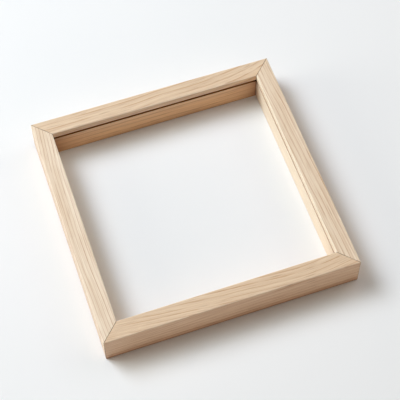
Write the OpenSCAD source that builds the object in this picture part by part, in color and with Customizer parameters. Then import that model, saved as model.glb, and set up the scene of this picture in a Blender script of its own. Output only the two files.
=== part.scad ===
// Screen printing frame: four mitred wooden rails round a square opening, with no mesh fitted.
// Each mitre is held by two hidden wooden dowels and by two steel V-nails driven from underneath.
// Millimetres. The origin is the middle of the underside, +Z is up, and the front rail is at -Y.

/* [Frame] */
// Clear opening, from side to side
opening_x = 245; // [150:5:600]
// Clear opening, from front to back
opening_y = 245; // [150:5:600]
// Width of a rail, seen from above
rail_w = 20; // [18:0.5:40]
// Height of a rail
rail_h = 40; // [38:1:60]
// Radius of the eased edges
ease = 0.9; // [0.3:0.1:1.5]

/* [Groove] */
// Height of the lip above the groove, at the top of the inner faces
lip_h = 8; // [5:0.5:8]
// Height of the saw groove that runs round the opening
groove_h = 3; // [1:0.5:4]
// Depth of the saw groove
groove_d = 5; // [3:0.5:7]

/* [Dowels] */
// Diameter of a dowel
dowel_d = 6; // [4:1:6]
// Length of a dowel
dowel_len = 18; // [10:1:18]

/* [V-nails] */
// Length of one leg of a V-nail
nail_leg = 6; // [4:0.5:6]
// Thickness of a V-nail's steel strip
nail_t = 0.6; // [0.4:0.1:1]
// Height of a V-nail
nail_h = 8; // [5:0.5:8]

/* [Hidden] */

// Size of the whole frame
outer_x = opening_x + 2 * rail_w;
outer_y = opening_y + 2 * rail_w;
// Floor of the groove
groove_z = rail_h - lip_h - groove_h;
// Distance of each dowel's axis from the outer corner, along the mitre
dowel_s = 15.5;
// Chamfer on the ends of a dowel
dowel_chamfer = 0.8;
// Wood left between a dowel and the groove above it, or the V-nails below it
web = 2;
// Glue room beyond each end of a dowel, and round it
end_room = 0.5;
side_room = 0.05;
// Distance of each V-nail's bend from the outer corner, along the mitre
outer_nail_s = 6;
inner_nail_s = 14.5;
// Depth of the V-nails below the underside
nail_sunk = 0.3;
// Height of each dowel's axis above the underside
lower_dowel_z = nail_sunk + nail_h + web + dowel_d / 2;
upper_dowel_z = groove_z - web - dowel_d / 2;
// Extra length that takes a cut clear of a face
over = 1;

wood = [0.87, 0.78, 0.66];
dowel_wood = [0.80, 0.66, 0.48];
steel = [0.70, 0.71, 0.73];
$fn = 48;

// Rectangle with rounded corners, made of true arcs
module eased_rect(w, h) {
    translate([ease, 0])
        square([w - 2 * ease, h]);
    translate([0, ease])
        square([w, h - 2 * ease]);
    for (x = [ease, w - ease], y = [ease, h - ease])
        translate([x, y])
            circle(r = ease);
}

// Cross-section of a rail: x runs from the outer face inwards, y is height
module rail_section() {
    difference() {
        eased_rect(rail_w, rail_h);
        translate([rail_w - groove_d, groove_z])
            square([groove_d + over, groove_h]);
    }
}

// Rail along X, mitred at both ends: its outer face is at y = 0 and the opening is on its +y side
module mitred_rail(length) {
    half = length / 2;
    intersection() {
        rotate([90, 0, 90])
            linear_extrude(length, center = true)
                rail_section();
        linear_extrude(rail_h)
            polygon([[-half, 0], [half, 0], [half - rail_w, rail_w], [rail_w - half, rail_w]]);
    }
}

// Moves its children to an outer corner, with +X along the mitre towards the opening
module at_corner(side_x, side_y) {
    translate([side_x * outer_x / 2, side_y * outer_y / 2, 0])
        rotate([0, 0, atan2(-side_y, -side_x)])
            children();
}

// Dowel along Y, across the mitre
module dowel(diameter, length, chamfer) {
    r = diameter / 2;
    half = length / 2;
    rotate([90, 0, 0])
        rotate_extrude()
            polygon([
                [0, -half], [r - chamfer, -half], [r, chamfer - half],
                [r, half - chamfer], [r - chamfer, half], [0, half],
            ]);
}

// Plan of a V-nail: the bend is at the origin, and the legs follow the two rails
module nail_plan(leg, thickness) {
    tip = leg / sqrt(2);
    step = thickness / sqrt(2);
    polygon([
        [0, 0], [tip, tip], [tip + step, tip - step],
        [2 * step, 0], [tip + step, step - tip], [tip, -tip],
    ]);
}

// Everything that is cut out of the rails at one corner
module corner_cuts() {
    for (z = [lower_dowel_z, upper_dowel_z])
        translate([dowel_s, 0, z])
            rotate([90, 0, 0])
                cylinder(d = dowel_d + 2 * side_room, h = dowel_len + 2 * end_room, center = true);
    for (s = [outer_nail_s, inner_nail_s])
        translate([s - side_room * sqrt(2), 0, -over])
            linear_extrude(nail_sunk + nail_h + side_room + over)
                nail_plan(nail_leg + 2 * side_room, nail_t + 2 * side_room);
    // The frame's upright outer edge is eased like the others
    rotate([0, 0, -45])
        translate([0, 0, -over])
            linear_extrude(rail_h + 2 * over)
                difference() {
                    translate([-over, -over])
                        square(ease + over);
                    translate([ease, ease])
                        circle(r = ease);
                }
}

module rail_back() {
    color(wood) difference() {
        translate([0, outer_y / 2, 0])
            rotate([0, 0, 180])
                mitred_rail(outer_x);
        at_corner(-1, 1) corner_cuts();
        at_corner(1, 1) corner_cuts();
    }
}

module rail_right() {
    color(wood) difference() {
        translate([outer_x / 2, 0, 0])
            rotate([0, 0, 90])
                mitred_rail(outer_y);
        at_corner(1, 1) corner_cuts();
        at_corner(1, -1) corner_cuts();
    }
}

module rail_front() {
    color(wood) difference() {
        translate([0, -outer_y / 2, 0])
            mitred_rail(outer_x);
        at_corner(-1, -1) corner_cuts();
        at_corner(1, -1) corner_cuts();
    }
}

module rail_left() {
    color(wood) difference() {
        translate([-outer_x / 2, 0, 0])
            rotate([0, 0, -90])
                mitred_rail(outer_y);
        at_corner(-1, 1) corner_cuts();
        at_corner(-1, -1) corner_cuts();
    }
}

module corner_dowel(side_x, side_y, z) {
    color(dowel_wood)
        at_corner(side_x, side_y)
            translate([dowel_s, 0, z])
                dowel(dowel_d, dowel_len, dowel_chamfer);
}

module dowel_back_left_upper() corner_dowel(-1, 1, upper_dowel_z);
module dowel_back_left_lower() corner_dowel(-1, 1, lower_dowel_z);
module dowel_back_right_upper() corner_dowel(1, 1, upper_dowel_z);
module dowel_back_right_lower() corner_dowel(1, 1, lower_dowel_z);
module dowel_front_right_upper() corner_dowel(1, -1, upper_dowel_z);
module dowel_front_right_lower() corner_dowel(1, -1, lower_dowel_z);
module dowel_front_left_upper() corner_dowel(-1, -1, upper_dowel_z);
module dowel_front_left_lower() corner_dowel(-1, -1, lower_dowel_z);

module corner_nail(side_x, side_y, s) {
    color(steel)
        at_corner(side_x, side_y)
            translate([s, 0, nail_sunk])
                linear_extrude(nail_h)
                    nail_plan(nail_leg, nail_t);
}

module v_nail_back_left_outer() corner_nail(-1, 1, outer_nail_s);
module v_nail_back_left_inner() corner_nail(-1, 1, inner_nail_s);
module v_nail_back_right_outer() corner_nail(1, 1, outer_nail_s);
module v_nail_back_right_inner() corner_nail(1, 1, inner_nail_s);
module v_nail_front_right_outer() corner_nail(1, -1, outer_nail_s);
module v_nail_front_right_inner() corner_nail(1, -1, inner_nail_s);
module v_nail_front_left_outer() corner_nail(-1, -1, outer_nail_s);
module v_nail_front_left_inner() corner_nail(-1, -1, inner_nail_s);

rail_back();
rail_right();
rail_front();
rail_left();
dowel_back_left_upper();
dowel_back_left_lower();
dowel_back_right_upper();
dowel_back_right_lower();
dowel_front_right_upper();
dowel_front_right_lower();
dowel_front_left_upper();
dowel_front_left_lower();
v_nail_back_left_outer();
v_nail_back_left_inner();
v_nail_back_right_outer();
v_nail_back_right_inner();
v_nail_front_right_outer();
v_nail_front_right_inner();
v_nail_front_left_outer();
v_nail_front_left_inner();
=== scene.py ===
"""Screen printing frame: the looks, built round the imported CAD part.

Each rail is a mesh swept along the board, with softly worn edges, the saw groove and a small
chamfer on its mitres, and its joinery is cut out of it. The growth rings of each board follow
a formula for where its tree's pith ran, so that the figure wraps round the board as it does in
real timber. Lengths are in metres, apart from the grain coordinates, which are in millimetres.
"""

import math

import bmesh
import bpy
from mathutils import Matrix, Vector, noise


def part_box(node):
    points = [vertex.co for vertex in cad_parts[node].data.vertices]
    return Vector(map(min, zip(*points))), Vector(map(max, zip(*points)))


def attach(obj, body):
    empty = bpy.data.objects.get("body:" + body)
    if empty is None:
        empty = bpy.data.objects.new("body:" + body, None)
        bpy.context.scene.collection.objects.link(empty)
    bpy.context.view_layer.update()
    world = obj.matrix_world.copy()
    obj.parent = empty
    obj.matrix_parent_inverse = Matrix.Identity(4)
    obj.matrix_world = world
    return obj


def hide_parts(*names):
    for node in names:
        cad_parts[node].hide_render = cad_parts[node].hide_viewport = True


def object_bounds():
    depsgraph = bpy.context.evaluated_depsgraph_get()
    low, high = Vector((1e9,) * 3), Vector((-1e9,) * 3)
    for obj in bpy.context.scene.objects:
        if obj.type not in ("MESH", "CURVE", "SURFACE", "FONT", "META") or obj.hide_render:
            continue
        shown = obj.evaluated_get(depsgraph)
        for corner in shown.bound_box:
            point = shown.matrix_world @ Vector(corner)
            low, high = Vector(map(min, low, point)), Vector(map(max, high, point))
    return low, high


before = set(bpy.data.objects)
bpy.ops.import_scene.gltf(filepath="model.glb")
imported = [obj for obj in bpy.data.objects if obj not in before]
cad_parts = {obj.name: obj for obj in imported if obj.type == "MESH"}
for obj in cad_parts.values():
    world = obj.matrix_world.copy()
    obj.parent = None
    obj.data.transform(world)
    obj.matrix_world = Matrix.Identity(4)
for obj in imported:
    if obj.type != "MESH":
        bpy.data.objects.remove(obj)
cad_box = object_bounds()

MM = 0.001
ROOT2 = math.sqrt(2)

# ---------------------------------------------------------------- sizes
low, high = cad_box
HALF_X, HALF_Y = high.x, high.y
RAIL_H = high.z
RAIL_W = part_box("rail_front")[1].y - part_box("rail_front")[0].y
LIP_H = 8.0 * MM
GROOVE_H = 3.0 * MM
GROOVE_D = 5.0 * MM
GROOVE_TOP = RAIL_H - LIP_H
GROOVE_LOW = GROOVE_TOP - GROOVE_H
EASE = 0.9 * MM
EASE_VARIATION = 0.22
MOUTH = 0.15 * MM
MITRE_CHAMFER = 0.16 * MM
STATION_STEP = 2.5 * MM
FLAT_STEP = 2.5 * MM
ARC_STEPS = 5

# Blend between sapwood and heartwood, and gap between two boards' patterns, in grain millimetres
HEART_BLEND = 14.0
GRAIN_GAP = 500.0
# Strength of the painted highlight on the outer edges, with that of the inner ones as 1
OUTER_HIGHLIGHT = 0.6
# How far the painted shade spreads up from the floor, out from an inner corner, and along the groove
FLOOR_SHADE = 3.0 * MM
CORNER_SHADE = 14.0 * MM
GROOVE_SHADE = 2.5 * MM
# How far painted light has paled the inner faces at most, and the groove as a share of that
MOST_INNER_LIGHT = 0.65
GROOVE_SHARE = 0.5

DOWEL_CHAMFER = 0.8 * MM
DOWEL_END_ROOM = 0.5 * MM
NAIL_STEEL = 0.6 * MM
SIDE_ROOM = 0.05 * MM
# Length that takes a cut clear of the face it starts from
OVER = 2.0 * MM

# The corners, as the signs of x and y there
CORNERS = {
    "back_left": (-1, 1),
    "back_right": (1, 1),
    "front_right": (1, -1),
    "front_left": (-1, -1),
}


# ---------------------------------------------------------------- small helpers
def new_object(name, mesh):
    """A linked object that takes over a bmesh."""
    data = bpy.data.meshes.new(name)
    mesh.to_mesh(data)
    mesh.free()
    piece = bpy.data.objects.new(name, data)
    bpy.context.scene.collection.objects.link(piece)
    return piece


def smooth(piece, angle_deg=28.0):
    """Smooth shading, with creases where faces meet at more than an angle."""
    piece.data.polygons.foreach_set("use_smooth", [True] * len(piece.data.polygons))
    piece.data.set_sharp_from_angle(angle=math.radians(angle_deg))


def set_values(piece, name, values, kind="FLOAT"):
    """Stores one number or vector per vertex, for the materials to read."""
    attribute = piece.data.attributes.new(name, kind, "POINT")
    key = "value" if kind == "FLOAT" else "vector"
    flat = values if kind == "FLOAT" else [x for v in values for x in v]
    attribute.data.foreach_set(key, flat)


def stand_for(piece, node):
    """Lets a piece ride on the root body in place of a CAD node."""
    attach(piece, "root")
    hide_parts(node)


# ---------------------------------------------------------------- boards
class Board:
    """One rail: where it lies, and how its tree grew.

    Along the rail s runs from end to end, u runs from the outer face inwards, and z is height.
    The pith lies at pith_u, pith_z (in mm). drift(s) moves it sideways for the top face, where
    the board is s mm from its middle, and fades out with depth. Dark growth rings lie ring_mm
    apart, and one of them is ring_at mm from the pith. The warmer heartwood reaches heart_mm from
    the pith. The tone goes from 0 for pale to 1 for tan timber.
    """

    def __init__(self, node, turn_deg, pith_u, pith_z, ring_mm, ring_at, heart_mm, tone, drift, seed):
        self.node = node
        self.turn = Matrix.Rotation(math.radians(turn_deg), 3, "Z")
        self.ring_mm = ring_mm
        self.ring_at = ring_at
        self.heart_mm = heart_mm
        self.tone = tone
        self.pith_u = pith_u
        self.pith_z = pith_z
        self.drift = drift
        self.seed = seed
        lies_along_x = turn_deg % 180 == 0
        self.half_length = HALF_X if lies_along_x else HALF_Y
        self.outer = HALF_Y if lies_along_x else HALF_X

    def to_row(self, s, u, z):
        """A point of the board in the row frame."""
        return self.turn @ Vector((s, u - self.outer, z))

    def from_row(self, point):
        """The s, u and z of a point in the row frame."""
        p = self.turn.transposed() @ point
        return p.x, p.y + self.outer, p.z

    def radius(self, s, u, z):
        """Distance in mm from the pith to a point given in mm."""
        fade = max(0.0, z * MM / RAIL_H) ** 4
        pith_u = self.pith_u + self.drift(s) * fade
        wander = noise.noise(Vector((s * 0.02, u * 0.05, z * 0.05 + self.seed * 31.0)))
        return math.hypot(u - pith_u, z - self.pith_z) + 0.7 * wander

    def ring(self, radius):
        """The number of the growth ring at a radius: whole where a ring is darkest."""
        return (radius - self.ring_at) / self.ring_mm + 20.0

    def heart(self, radius):
        """From 0 in the pale sapwood to 1 in the heartwood."""
        t = min(1.0, max(0.0, 0.5 + (self.heart_mm - radius) / HEART_BLEND))
        return t * t * (3.0 - 2.0 * t)


def front_drift(s):
    """Curves round a knot that was just outside the board, 80 mm right of its middle."""
    return 0.025 * (s - 80.0) + 0.115 * (math.hypot(s - 80.0, 14.0) - 80.0)


def right_drift(s):
    return 0.038 * s


def back_drift(s):
    """Bends away from the board at its left end, and once more near the middle."""
    left_bend = 13.0 * math.exp(-(s + 125.0) / 42.0)
    middle_bend = 3.0 / (1.0 + math.exp(-(s - 8.0) / 9.0))
    return middle_bend - left_bend


def left_drift(s):
    bow = s + 5.0
    return 0.0003 * bow**2 - 0.0000007 * bow**3


# node, turn, pith_u, pith_z, ring_mm, ring_at, heart_mm, tone, drift and seed
BOARDS = [
    Board("rail_front", 0, 89.2, -42.0, 3.40, 112.0, 96.0, 1.0, front_drift, 1),
    Board("rail_right", 90, -66.0, -40.0, 3.46, 108.8, 88.0, 0.35, right_drift, 2),
    Board("rail_back", 180, 93.0, -45.0, 4.76, 114.3, 104.0, 0.9, back_drift, 3),
    Board("rail_left", 270, 85.0, -35.0, 2.60, 107.6, 90.0, 0.1, left_drift, 4),
]


def section(ease):
    """The outline of a rail, as (u, z) points in order round it."""
    points = []

    def line(u0, z0, u1, z1):
        steps = max(1, round(math.hypot(u1 - u0, z1 - z0) / FLAT_STEP))
        for i in range(steps):
            t = i / steps
            points.append((u0 + (u1 - u0) * t, z0 + (z1 - z0) * t))

    def arc(u, z, start_deg):
        for i in range(ARC_STEPS):
            angle = math.radians(start_deg + 90.0 * i / ARC_STEPS)
            points.append((u + ease * math.cos(angle), z + ease * math.sin(angle)))

    floor_u = RAIL_W - GROOVE_D
    line(ease, 0, RAIL_W - ease, 0)
    arc(RAIL_W - ease, ease, -90)
    line(RAIL_W, ease, RAIL_W, GROOVE_LOW - MOUTH)
    line(RAIL_W, GROOVE_LOW - MOUTH, RAIL_W - MOUTH, GROOVE_LOW)
    line(RAIL_W - MOUTH, GROOVE_LOW, floor_u, GROOVE_LOW)
    line(floor_u, GROOVE_LOW, floor_u, GROOVE_TOP)
    line(floor_u, GROOVE_TOP, RAIL_W - MOUTH, GROOVE_TOP)
    line(RAIL_W - MOUTH, GROOVE_TOP, RAIL_W, GROOVE_TOP + MOUTH)
    line(RAIL_W, GROOVE_TOP + MOUTH, RAIL_W, RAIL_H - ease)
    arc(RAIL_W - ease, RAIL_H - ease, 0)
    line(RAIL_W - ease, RAIL_H, ease, RAIL_H)
    arc(ease, RAIL_H - ease, 90)
    line(0, RAIL_H - ease, 0, ease)
    arc(ease, ease, 180)
    return points


def inset(points, distance):
    """An outline moved inwards by a distance."""
    moved = []
    for i, (u, z) in enumerate(points):
        before, after = points[i - 1], points[(i + 1) % len(points)]
        inward = Vector((before[1] - after[1], after[0] - before[0])).normalized()
        moved.append((u + inward.x * distance, z + inward.y * distance))
    return moved


def rail_mesh(board):
    """A closed mesh of one mitred rail, in the row frame."""
    mesh = bmesh.new()
    back_off = MITRE_CHAMFER * ROOT2
    stations = round(2 * board.half_length / STATION_STEP)
    rings = []
    for i in range(stations + 1):
        t = 2.0 * i / stations - 1.0
        worn = noise.noise(Vector((t * 9.0, board.seed * 7.7, 0.0))) * (1.0 - t**8)
        outline = section(EASE * (1.0 + EASE_VARIATION * worn))
        spots = [((board.half_length - u - back_off) * t, u, z) for u, z in outline]
        rings.append([mesh.verts.new(board.to_row(*spot)) for spot in spots])
    end_outline = inset(section(EASE), MITRE_CHAMFER)
    for end in (-1, 1):
        spots = [((board.half_length - u) * end, u, z) for u, z in end_outline]
        verts = [mesh.verts.new(board.to_row(*spot)) for spot in spots]
        rings.insert(0 if end < 0 else len(rings), verts)
    count = len(end_outline)
    for ring, after in zip(rings, rings[1:]):
        for k in range(count):
            m = (k + 1) % count
            mesh.faces.new((ring[k], ring[m], after[m], after[k]))
    mesh.faces.new(rings[0][::-1])
    mesh.faces.new(rings[-1])
    bmesh.ops.recalc_face_normals(mesh, faces=mesh.faces)
    return mesh


# ---------------------------------------------------------------- joinery
def box_size(node):
    low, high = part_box(node)
    return high - low


def dowel_place(corner, level):
    """Matrix that puts a dowel made along local X into its CAD node's place."""
    side_x, side_y = CORNERS[corner]
    low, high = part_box(f"dowel_{corner}_{level}")
    heading = math.atan2(side_x, -side_y)
    return Matrix.Translation((low + high) / 2) @ Matrix.Rotation(heading, 4, "Z")


def dowel_size():
    """Radius and length of the CAD dowels, which lie at 45 degrees in their boxes."""
    size = box_size("dowel_back_left_upper")
    radius = size.z / 2
    return radius, size.x * ROOT2 - 2 * radius + 2 * DOWEL_CHAMFER


def nail_place(corner, which):
    """Matrix that puts a V-nail at its CAD node's bend, with local +X and +Y along its legs."""
    side_x, side_y = CORNERS[corner]
    low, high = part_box(f"v_nail_{corner}_{which}")
    bend = Vector((high.x if side_x > 0 else low.x, high.y if side_y > 0 else low.y, low.z))
    return Matrix.Translation(bend) @ Matrix.Diagonal((-side_x, -side_y, 1, 1))


def add_tube(mesh, place, stations):
    """Adds a closed tube: stations is a list of (x, radius function of angle, steps)."""
    rings = []
    for x, radius, steps in stations:
        ring = []
        for k in range(steps):
            angle = 2 * math.pi * k / steps
            r = radius(angle)
            ring.append(mesh.verts.new(place @ Vector((x, r * math.cos(angle), r * math.sin(angle)))))
        rings.append(ring)
    for ring, after in zip(rings, rings[1:]):
        count = len(ring)
        for k in range(count):
            m = (k + 1) % count
            mesh.faces.new((ring[k], ring[m], after[m], after[k]))
    mesh.faces.new(rings[0][::-1])
    mesh.faces.new(rings[-1])


def add_prism(mesh, place, levels):
    """Adds a closed prism: levels is a list of (z, plan), with the same number of points each."""
    rings = [[mesh.verts.new(place @ Vector((x, y, z))) for x, y in plan] for z, plan in levels]
    for ring, after in zip(rings, rings[1:]):
        count = len(ring)
        for k in range(count):
            m = (k + 1) % count
            mesh.faces.new((ring[k], ring[m], after[m], after[k]))
    mesh.faces.new(rings[0][::-1])
    mesh.faces.new(rings[-1])


def nail_plan(leg, steel, shift=0.0):
    """Plan of a V-nail whose bend is at the origin and whose legs run along +X and +Y."""
    corners = [(0, 0), (leg, 0), (leg, steel), (steel, steel), (steel, leg), (0, leg)]
    return [(x + shift, y + shift) for x, y in corners]


def corner_cutter(corner):
    """A hidden object in the shape of all that is cut out of the rails at a corner."""
    mesh = bmesh.new()
    radius, length = dowel_size()
    half = length / 2 + DOWEL_END_ROOM
    bore = radius + SIDE_ROOM
    steps = 48
    for level in ("upper", "lower"):
        ends = [(x, lambda angle: bore, steps) for x in (-half, half)]
        add_tube(mesh, dowel_place(corner, level), ends)
    for which in ("outer", "inner"):
        size = box_size(f"v_nail_{corner}_{which}")
        plan = nail_plan(size.x + 2 * SIDE_ROOM, NAIL_STEEL + 2 * SIDE_ROOM, -SIDE_ROOM)
        levels = [(-OVER, plan), (size.z + SIDE_ROOM, plan)]
        add_prism(mesh, nail_place(corner, which), levels)
    bmesh.ops.recalc_face_normals(mesh, faces=mesh.faces)
    return new_object("cutter_" + corner, mesh)


def cut(piece, cutter):
    """Cuts one object's shape out of another, for good."""
    step = piece.modifiers.new("cut", "BOOLEAN")
    step.operation = "DIFFERENCE"
    step.solver = "EXACT"
    step.object = cutter
    depsgraph = bpy.context.evaluated_depsgraph_get()
    result = bpy.data.meshes.new_from_object(piece.evaluated_get(depsgraph))
    piece.modifiers.clear()
    piece.data = result


# ---------------------------------------------------------------- materials
class Nodes:
    """Short names for building one material's nodes."""

    def __init__(self, name):
        self.material = bpy.data.materials.new(name)
        self.material.use_nodes = True
        self.tree = self.material.node_tree
        self.shader = self.tree.nodes["Principled BSDF"]

    def add(self, kind, inputs, **settings):
        node = self.tree.nodes.new(kind)
        for key, value in settings.items():
            setattr(node, key, value)
        for socket, value in inputs.items():
            self.feed(node.inputs[socket], value)
        return node

    def feed(self, socket, value):
        if isinstance(value, bpy.types.NodeSocket):
            self.tree.links.new(value, socket)
        else:
            socket.default_value = value

    def attribute(self, name, output="Fac"):
        return self.add("ShaderNodeAttribute", {}, attribute_name=name).outputs[output]

    def math(self, operation, a, b=0.0, c=0.0):
        return self.add("ShaderNodeMath", {0: a, 1: b, 2: c}, operation=operation).outputs[0]

    def point(self, x, y, z=0.0):
        return self.add("ShaderNodeCombineXYZ", {0: x, 1: y, 2: z}).outputs[0]

    def stretch(self, vector, scale):
        inputs = {0: vector, 1: scale}
        return self.add("ShaderNodeVectorMath", inputs, operation="MULTIPLY").outputs[0]

    def noise(self, vector, scale, detail=2.0, roughness=0.5):
        """Noise of a vector whose axes are scaled one by one."""
        inputs = {"Vector": self.stretch(vector, scale), "Scale": 1.0}
        inputs.update({"Detail": detail, "Roughness": roughness})
        return self.add("ShaderNodeTexNoise", inputs).outputs[0]

    def fit(self, value, low, high, to_low=0.0, to_high=1.0, curve="SMOOTHSTEP"):
        """Maps low..high to to_low..to_high, and stays inside that."""
        inputs = {0: value, 1: low, 2: high, 3: to_low, 4: to_high}
        return self.add("ShaderNodeMapRange", inputs, interpolation_type=curve).outputs[0]

    def ramp(self, value, stops):
        """A curve through (position, height) stops."""
        node = self.add("ShaderNodeValToRGB", {0: value})
        node.color_ramp.interpolation = "EASE"
        elements = node.color_ramp.elements
        while len(elements) < len(stops):
            elements.new(0.5)
        for element, (position, height) in zip(elements, stops):
            element.position = position
            element.color = (height, height, height, 1)
        return node.outputs[0]

    def mix(self, factor, a, b):
        """Blends colour a into colour b."""
        node = self.add("ShaderNodeMix", {}, data_type="RGBA")
        self.feed(node.inputs[0], factor)
        self.feed(node.inputs[6], a)
        self.feed(node.inputs[7], b)
        return node.outputs[2]

    def finish(self, tint, roughness, height, depth_mm):
        """Joins colour, roughness and a height to the shader, with the bump's depth in mm."""
        self.feed(self.shader.inputs["Base Color"], tint)
        self.feed(self.shader.inputs["Roughness"], roughness)
        bump = self.add("ShaderNodeBump", {"Strength": 1.0, "Distance": depth_mm * MM, "Height": height})
        self.feed(self.shader.inputs["Normal"], bump.outputs[0])
        return self.material


def colour(red, green, blue):
    """A linear colour from sRGB values of 0 to 255."""
    channels = []
    for value in (red, green, blue):
        c = value / 255.0
        channels.append(c / 12.92 if c <= 0.04045 else ((c + 0.055) / 1.055) ** 2.4)
    return (*channels, 1.0)


def late_wood(n, grain, ring):
    """From 0 to 1 on the dark lines: one at each ring, and a faint one between some of them."""
    wobble = n.math("SUBTRACT", n.noise(grain, (0.03, 0.3, 0.3)), 0.5)
    jitter = n.math("SUBTRACT", n.noise(grain, (0.16, 1.4, 1.4)), 0.5)
    phase = n.math("MULTIPLY_ADD", wobble, 0.24, ring)
    phase = n.math("MULTIPLY_ADD", jitter, 0.07, phase)
    shifted = n.math("ADD", phase, 0.88)
    place = n.math("FRACT", shifted)
    stops = [(0.0, 0.05), (0.34, 0.03), (0.70, 0.16), (0.88, 1.0), (0.94, 0.8), (1.0, 0.05)]
    band = n.ramp(place, stops)
    stops = [(0.0, 0.0), (0.30, 0.0), (0.40, 1.0), (0.44, 0.7), (0.52, 0.0), (1.0, 0.0)]
    between = n.ramp(place, stops)

    number = n.math("FLOOR", shifted)
    dice = n.add("ShaderNodeTexWhiteNoise", {"W": number}, noise_dimensions="1D").outputs[0]
    strength = n.fit(dice, 0.0, 1.0, 0.65, 1.0, "LINEAR")
    fade = n.fit(n.noise(grain, (0.022, 0.22, 0.22), 1.0), 0.34, 0.54, 0.4, 1.0)
    faint_fade = n.fit(n.noise(grain, (0.018, 0.3, 0.3), 1.0), 0.46, 0.62, 0.0, 0.5)
    strong = n.math("MULTIPLY", n.math("MULTIPLY", band, strength), fade)
    return n.math("MAXIMUM", strong, n.math("MULTIPLY", between, faint_fade))


def shade_and_mark_wood(n, tint, grain, fuzz, sawn):
    """Puts painted shade by the floor, in the inner corners and at the groove's ends, a painted
    highlight on the edges, the groove's saw-cut colour with painted shade in it, painted light on the
    inner faces, and the mitre's dark line on the bare wood.
    """
    # Painted shade: darker brown by the floor, in the inner corners and at the groove's ends
    painted_shade = n.attribute("painted_shade")
    shade_amount = n.math("MULTIPLY", painted_shade, n.fit(fuzz, 0.2, 0.8, 0.6, 0.85))
    tint = n.mix(shade_amount, tint, colour(146, 82, 40))
    # Painted highlight: the eased edges paler, the inner ones most
    tint = n.mix(n.math("MULTIPLY", n.attribute("edge_highlight"), 0.85), tint, colour(255, 248, 232))
    # The groove's walls go dark orange-brown: saw-cut wood, with painted shade in the groove
    tint = n.mix(n.math("MULTIPLY", sawn, 0.94), tint, colour(156, 92, 12))
    # Painted light: the inner faces of the pale boards paler, the groove half as much
    tint = n.mix(n.math("MULTIPLY", n.attribute("inner_face_light"), 0.82), tint, colour(255, 244, 222))
    # Painted shade: near black where the groove meets an inner corner
    tint = n.mix(n.math("MULTIPLY", sawn, painted_shade), tint, colour(24, 11, 4))
    seam_fade = n.fit(n.noise(grain, (0.12, 0.12, 0.12)), 0.35, 0.6, 0.5, 1.0)
    seam = n.fit(n.attribute("seam"), 0.05, 0.55, 1.0, 0.0)
    return n.mix(n.math("MULTIPLY", seam, seam_fade), tint, colour(100, 64, 38))


def rail_wood():
    """Pale planed timber: rings from the ring attribute, fibres and pores from the grain one."""
    n = Nodes("rail_wood")
    grain = n.attribute("grain", "Vector")
    along = n.add("ShaderNodeSeparateXYZ", {0: grain}).outputs[0]
    ring = n.attribute("ring")
    flow = n.point(along, ring)
    late = late_wood(n, grain, ring)
    streaks = n.noise(flow, (0.012, 2.6, 0.0), 3.0, 0.6)
    flecks = n.fit(n.noise(flow, (0.035, 4.5, 0.0), 1.0), 0.62, 0.74)
    fibres = n.noise(grain, (0.05, 3.4, 3.4), 3.0, 0.6)
    fuzz = n.noise(grain, (0.3, 16.0, 16.0), 2.0, 0.6)
    pores = n.fit(n.noise(grain, (0.06, 3.2, 3.2), 1.0), 0.66, 0.76)
    cloud = n.noise(grain, (0.012, 0.1, 0.1), 2.0)
    boldness = n.fit(n.attribute("tone"), 0.0, 1.0, 0.6, 1.0)
    streaky = n.math("MULTIPLY", boldness, n.fit(streaks, 0.38, 0.68, 0.0, 0.36))
    specks = n.math("MULTIPLY", n.math("MAXIMUM", flecks, pores), n.math("MULTIPLY", boldness, 0.38))

    tint = n.mix(n.attribute("tone"), colour(252, 237, 217), colour(236, 211, 182))
    tint = n.mix(n.fit(cloud, 0.3, 0.7, 0.0, 0.5), tint, colour(227, 203, 175))
    tint = n.mix(n.attribute("heart"), tint, colour(240, 192, 138))
    tint = n.mix(streaky, tint, colour(200, 161, 128))
    tint = n.mix(n.math("MULTIPLY", late, 0.84), tint, colour(188, 136, 94))
    tint = n.mix(n.fit(fibres, 0.32, 0.68, 0.0, 0.30), tint, colour(202, 169, 136))
    tint = n.mix(specks, tint, colour(150, 98, 60))
    sawn = n.attribute("cut")
    tint = shade_and_mark_wood(n, tint, grain, fuzz, sawn)

    roughness = n.fit(fuzz, 0.2, 0.8, 0.52, 0.68)
    roughness = n.math("MULTIPLY_ADD", late, -0.06, roughness)
    height = n.math("MULTIPLY_ADD", late, 0.35, n.math("MULTIPLY", fibres, 0.5))
    height = n.math("MULTIPLY_ADD", fuzz, 0.25, height)
    height = n.math("MULTIPLY_ADD", pores, -0.5, height)
    n.feed(n.shader.inputs["Specular IOR Level"], n.fit(sawn, 0.0, 1.0, 0.35, 0.0))
    return n.finish(tint, roughness, height, 0.06)


def dowel_wood():
    """Fluted beech: a warmer brown, with short dark flecks."""
    n = Nodes("dowel_wood")
    grain = n.attribute("grain", "Vector")
    fibres = n.noise(grain, (0.2, 5.0, 5.0), 3.0, 0.6)
    flecks = n.fit(n.noise(grain, (0.5, 3.4, 3.4), 1.0), 0.60, 0.70)
    tint = n.mix(fibres, colour(214, 178, 136), colour(190, 150, 108))
    tint = n.mix(n.math("MULTIPLY", flecks, 0.5), tint, colour(146, 100, 64))
    roughness = n.fit(fibres, 0.2, 0.8, 0.5, 0.7)
    height = n.math("MULTIPLY_ADD", flecks, -0.4, fibres)
    return n.finish(tint, roughness, height, 0.05)


def nail_steel():
    """Rolled spring-steel strip, with fine scratches along it and a faint blue temper."""
    n = Nodes("nail_steel")
    grain = n.attribute("grain", "Vector")
    scratches = n.noise(grain, (0.4, 22.0, 22.0), 3.0, 0.6)
    temper = n.noise(grain, (0.25, 0.25, 0.25), 2.0)
    tint = n.mix(temper, colour(176, 178, 184), colour(142, 148, 160))
    n.feed(n.shader.inputs["Metallic"], 1.0)
    roughness = n.fit(scratches, 0.2, 0.8, 0.26, 0.48)
    return n.finish(tint, roughness, scratches, 0.01)


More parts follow.
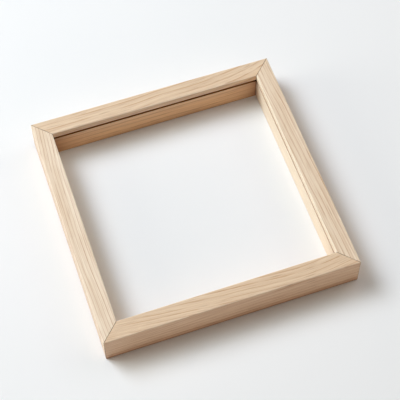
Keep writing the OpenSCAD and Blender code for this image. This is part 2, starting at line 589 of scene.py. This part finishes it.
def floor_paint():
    """Matt white sweep, with a faint unevenness, that glows into the backdrop far away."""
    n = Nodes("floor_paint")
    spot = n.add("ShaderNodeTexCoord", {}).outputs["Object"]
    distance = n.add("ShaderNodeVectorMath", {0: spot}, operation="LENGTH").outputs["Value"]
    n.feed(n.shader.inputs["Emission Color"], (*BACKDROP, 1.0))
    n.feed(n.shader.inputs["Emission Strength"], n.fit(distance, *FLOOR_GLOW, 0.0, 1.0))
    mottle = n.noise(spot, (3.0, 3.0, 3.0), 2.0)
    tint = n.mix(mottle, colour(241, 241, 243), colour(244, 244, 246))
    n.feed(n.shader.inputs["Specular IOR Level"], 0.1)
    return n.finish(tint, 0.85, n.noise(spot, (60.0, 60.0, 60.0)), 0.02)


# ---------------------------------------------------------------- pieces
def in_groove(u, z):
    """Whether a point of a rail is on a wall of the saw groove."""
    sunk = MOUTH / 2 < RAIL_W - u < GROOVE_D + MOUTH
    return sunk and GROOVE_LOW - MOUTH / 2 < z < GROOVE_TOP + MOUTH / 2


def on_inner_face(u):
    return u > RAIL_W - EASE / 2


def edge_highlight_at(u, z):
    """From 0 to 1 at an edge, where a painted highlight makes the wood pale."""
    from_edge = max(min(u, RAIL_W - u), min(z, RAIL_H - z))
    edge_share = 1.0 if u > RAIL_W / 2 else OUTER_HIGHLIGHT
    return edge_share * max(0.0, 1.0 - from_edge / EASE)


def inner_face_light_at(board, u, z):
    """From 0 to 1 where painted light makes the wood paler: the inner faces of the pale boards."""
    reached = GROOVE_SHARE if in_groove(u, z) else 1.0 if on_inner_face(u) else 0.0
    return reached * min(MOST_INNER_LIGHT, 1.0 - board.tone)


def painted_shade_at(board, s, u, z):
    """From 0 to 1 in the painted shade along the floor, in the inner corners and at the groove's ends.
    """
    by_floor = math.exp(-z / FLOOR_SHADE)
    if in_groove(u, z):
        spread = GROOVE_SHADE
    elif on_inner_face(u) and z < GROOVE_LOW:
        spread = CORNER_SHADE
    else:
        return by_floor
    from_corner = max(0.0, board.half_length - RAIL_W - abs(s))
    return max(by_floor, math.exp(-from_corner / spread))


def mark_rail(rail, board):
    """Stores what the wood material reads at each vertex of a rail."""
    spots = [board.from_row(vertex.co) for vertex in rail.data.vertices]
    grain = [(s / MM + GRAIN_GAP * board.seed, u / MM, z / MM) for s, u, z in spots]
    radii = [board.radius(s / MM, u / MM, z / MM) for s, u, z in spots]
    set_values(rail, "grain", grain, "FLOAT_VECTOR")
    set_values(rail, "ring", [board.ring(radius) for radius in radii])
    set_values(rail, "heart", [board.heart(radius) for radius in radii])
    set_values(rail, "tone", [board.tone for spot in spots])
    set_values(rail, "seam", [(board.half_length - u - abs(s)) / ROOT2 / MM for s, u, z in spots])
    # The groove's mask; its dark colour is partly painted shade
    set_values(rail, "cut", [1.0 if in_groove(u, z) else 0.0 for s, u, z in spots])
    # Painted highlight on the eased edges
    set_values(rail, "edge_highlight", [edge_highlight_at(u, z) for s, u, z in spots])
    # Painted shade by the floor, in the inner corners and at the groove's ends
    set_values(rail, "painted_shade", [painted_shade_at(board, s, u, z) for s, u, z in spots])
    # Painted light on the inner faces
    set_values(rail, "inner_face_light", [inner_face_light_at(board, u, z) for s, u, z in spots])


def make_rail(board, cutters, material):
    rail = new_object(board.node + "_board", rail_mesh(board))
    for cutter in cutters:
        cut(rail, cutter)
    mark_rail(rail, board)
    smooth(rail)
    rail.data.materials.clear()
    rail.data.materials.append(material)
    stand_for(rail, board.node)


def make_dowel(corner, level, seed, material):
    """A dowel with glue flutes along it and chamfered ends."""
    flutes, flute_depth = 20, 0.25 * MM
    radius, length = dowel_size()

    def fluted(angle):
        return radius - flute_depth * max(0.0, math.cos(angle * flutes)) ** 2

    def tip(angle):
        return radius - DOWEL_CHAMFER

    half = length / 2
    body = half - DOWEL_CHAMFER
    steps = 6 * flutes
    stations = [(-half, tip, steps)]
    stations += [(body * k / 4, fluted, steps) for k in range(-4, 5)]
    stations += [(half, tip, steps)]
    place = dowel_place(corner, level)
    mesh = bmesh.new()
    add_tube(mesh, place, stations)
    bmesh.ops.recalc_face_normals(mesh, faces=mesh.faces)
    dowel = new_object(f"dowel_{corner}_{level}_fluted", mesh)
    local = [place.inverted() @ v.co for v in dowel.data.vertices]
    grain = [(p.x / MM + 90.0 * seed, p.y / MM, p.z / MM) for p in local]
    set_values(dowel, "grain", grain, "FLOAT_VECTOR")
    smooth(dowel, 40.0)
    dowel.data.materials.append(material)
    stand_for(dowel, f"dowel_{corner}_{level}")


def make_nail(corner, which, seed, material):
    """A V-nail: a bent strip whose upper edge is ground sharp to drive into the wood."""
    size = box_size(f"v_nail_{corner}_{which}")
    leg, height = size.x, size.z
    bend_steps, bend_radius = 4, 0.8 * MM
    grind = 1.4 * MM
    land = 0.06 * MM

    def plan(steel, leg_cut):
        """Plan of the strip, thinned evenly from both faces and with shorter legs."""
        thin = (NAIL_STEEL - steel) / 2
        reach = leg - leg_cut
        outer = []
        for k in range(bend_steps + 1):
            angle = math.radians(180.0 + 90.0 * k / bend_steps)
            r = bend_radius - thin
            outer.append((bend_radius + r * math.cos(angle), bend_radius + r * math.sin(angle)))
        inner = NAIL_STEEL - thin
        return [(thin, reach)] + outer + [(reach, thin), (reach, inner), (inner, inner), (inner, reach)]

    levels = [
        (0.0, plan(NAIL_STEEL, 0.0)),
        (height - grind, plan(NAIL_STEEL, 0.1 * MM)),
        (height, plan(land, 0.5 * MM)),
    ]
    place = nail_place(corner, which)
    mesh = bmesh.new()
    add_prism(mesh, place, levels)
    bmesh.ops.recalc_face_normals(mesh, faces=mesh.faces)
    nail = new_object(f"v_nail_{corner}_{which}_steel", mesh)
    local = [place.inverted() @ v.co for v in nail.data.vertices]
    grain = [((p.x - p.y) / MM + 40.0 * seed, (p.x + p.y) / MM, p.z / MM) for p in local]
    set_values(nail, "grain", grain, "FLOAT_VECTOR")
    smooth(nail, 30.0)
    nail.data.materials.append(material)
    stand_for(nail, f"v_nail_{corner}_{which}")


cutters = {corner: corner_cutter(corner) for corner in CORNERS}
board_corners = {
    "rail_front": ("front_left", "front_right"),
    "rail_right": ("front_right", "back_right"),
    "rail_back": ("back_right", "back_left"),
    "rail_left": ("back_left", "front_left"),
}
wood = rail_wood()
beech = dowel_wood()
steel = nail_steel()
for board in BOARDS:
    make_rail(board, [cutters[corner] for corner in board_corners[board.node]], wood)
for cutter in cutters.values():
    bpy.data.objects.remove(cutter)
for index, corner in enumerate(CORNERS):
    for k, level in enumerate(("upper", "lower")):
        make_dowel(corner, level, 2 * index + k, beech)
    for k, which in enumerate(("outer", "inner")):
        make_nail(corner, which, 2 * index + k, steel)


# ---------------------------------------------------------------- stage
LIGHT_DISTANCE = 3.2
BACKDROP = (0.90, 0.90, 0.91)
FLOOR_GLOW = (0.7, 3.6)
FLOOR_GAP = 0.05 * MM


def make_floor():
    half = 12.0
    mesh = bmesh.new()
    corners = [(-half, -half), (half, -half), (half, half), (-half, half)]
    mesh.faces.new([mesh.verts.new((x, y, -FLOOR_GAP)) for x, y in corners])
    floor = new_object("floor", mesh)
    floor.data.materials.append(floor_paint())


def make_light(name, azimuth, elevation, size, power, tint):
    """A square softbox that faces the frame. Azimuth 0 is at +X, and 90 at +Y."""
    a, e = math.radians(azimuth), math.radians(elevation)
    direction = Vector((math.cos(a) * math.cos(e), math.sin(a) * math.cos(e), math.sin(e)))
    lamp = bpy.data.lights.new(name, "AREA")
    lamp.size = size
    lamp.energy = power
    lamp.color = tint
    light = bpy.data.objects.new(name, lamp)
    light.location = direction * LIGHT_DISTANCE
    light.visible_camera = False
    light.rotation_mode = "QUATERNION"
    light.rotation_quaternion = direction.to_track_quat("Z", "Y")
    bpy.context.scene.collection.objects.link(light)


def make_world(glow):
    """Gives the frame a faint warm glow from all round, and the camera a pale backdrop."""
    world = bpy.data.worlds.new("studio")
    world.use_nodes = True
    tree = world.node_tree
    background = tree.nodes["Background"]
    seen = tree.nodes.new("ShaderNodeLightPath")
    mix = tree.nodes.new("ShaderNodeMix")
    mix.data_type = "RGBA"
    mix.inputs[6].default_value = (*glow, 1.0)
    mix.inputs[7].default_value = (*BACKDROP, 1.0)
    tree.links.new(seen.outputs["Is Camera Ray"], mix.inputs[0])
    tree.links.new(mix.outputs[2], background.inputs[0])
    bpy.context.scene.world = world


def make_camera(azimuth, elevation, roll, lens, aim, distance):
    """A camera that looks at a point from a direction. Azimuth 0 looks along +Y."""
    a, e = math.radians(azimuth), math.radians(elevation)
    back = Vector((math.sin(a) * math.cos(e), -math.cos(a) * math.cos(e), math.sin(e)))
    right = Vector((0, 0, 1)).cross(back).normalized()
    up = back.cross(right)
    turn = Matrix((right, up, back)).transposed().to_4x4() @ Matrix.Rotation(math.radians(roll), 4, "Z")
    data = bpy.data.cameras.new("camera")
    data.lens = lens
    data.sensor_width = 36.0
    camera = bpy.data.objects.new("camera", data)
    camera.matrix_world = Matrix.Translation(Vector(aim) + back * distance) @ turn
    bpy.context.scene.collection.objects.link(camera)
    bpy.context.scene.camera = camera


make_floor()
make_light("key", 140.0, 52.0, 1.76, 57.0, (0.92, 1.0, 0.99))
make_light("second", 128.0, 48.0, 1.28, 35.0, (0.79, 0.85, 1.0))
make_light("side", 165.0, 18.0, 1.44, 31.0, (1.0, 0.96, 0.82))
make_light("top", 0.0, 90.0, 3.2, 9.6, (0.46, 0.92, 1.0))
make_light("fill", 0.0, 30.0, 1.92, 13.6, (0.88, 1.0, 0.78))
make_light("high_fill", 20.0, 50.0, 1.92, 17.7, (1.0, 0.83, 0.84))
make_light("bounce", 270.0, 10.0, 1.6, 15.0, (1.0, 0.66, 0.48))
make_world((0.09, 0.054, 0.036))
make_camera(
    azimuth=-18.36,
    elevation=59.5,
    roll=-0.77,
    lens=115.1,
    aim=(13.77 * MM, 8.55 * MM, 0.0),
    distance=1.4414,
)
bpy.context.scene.view_settings.view_transform = "Standard"
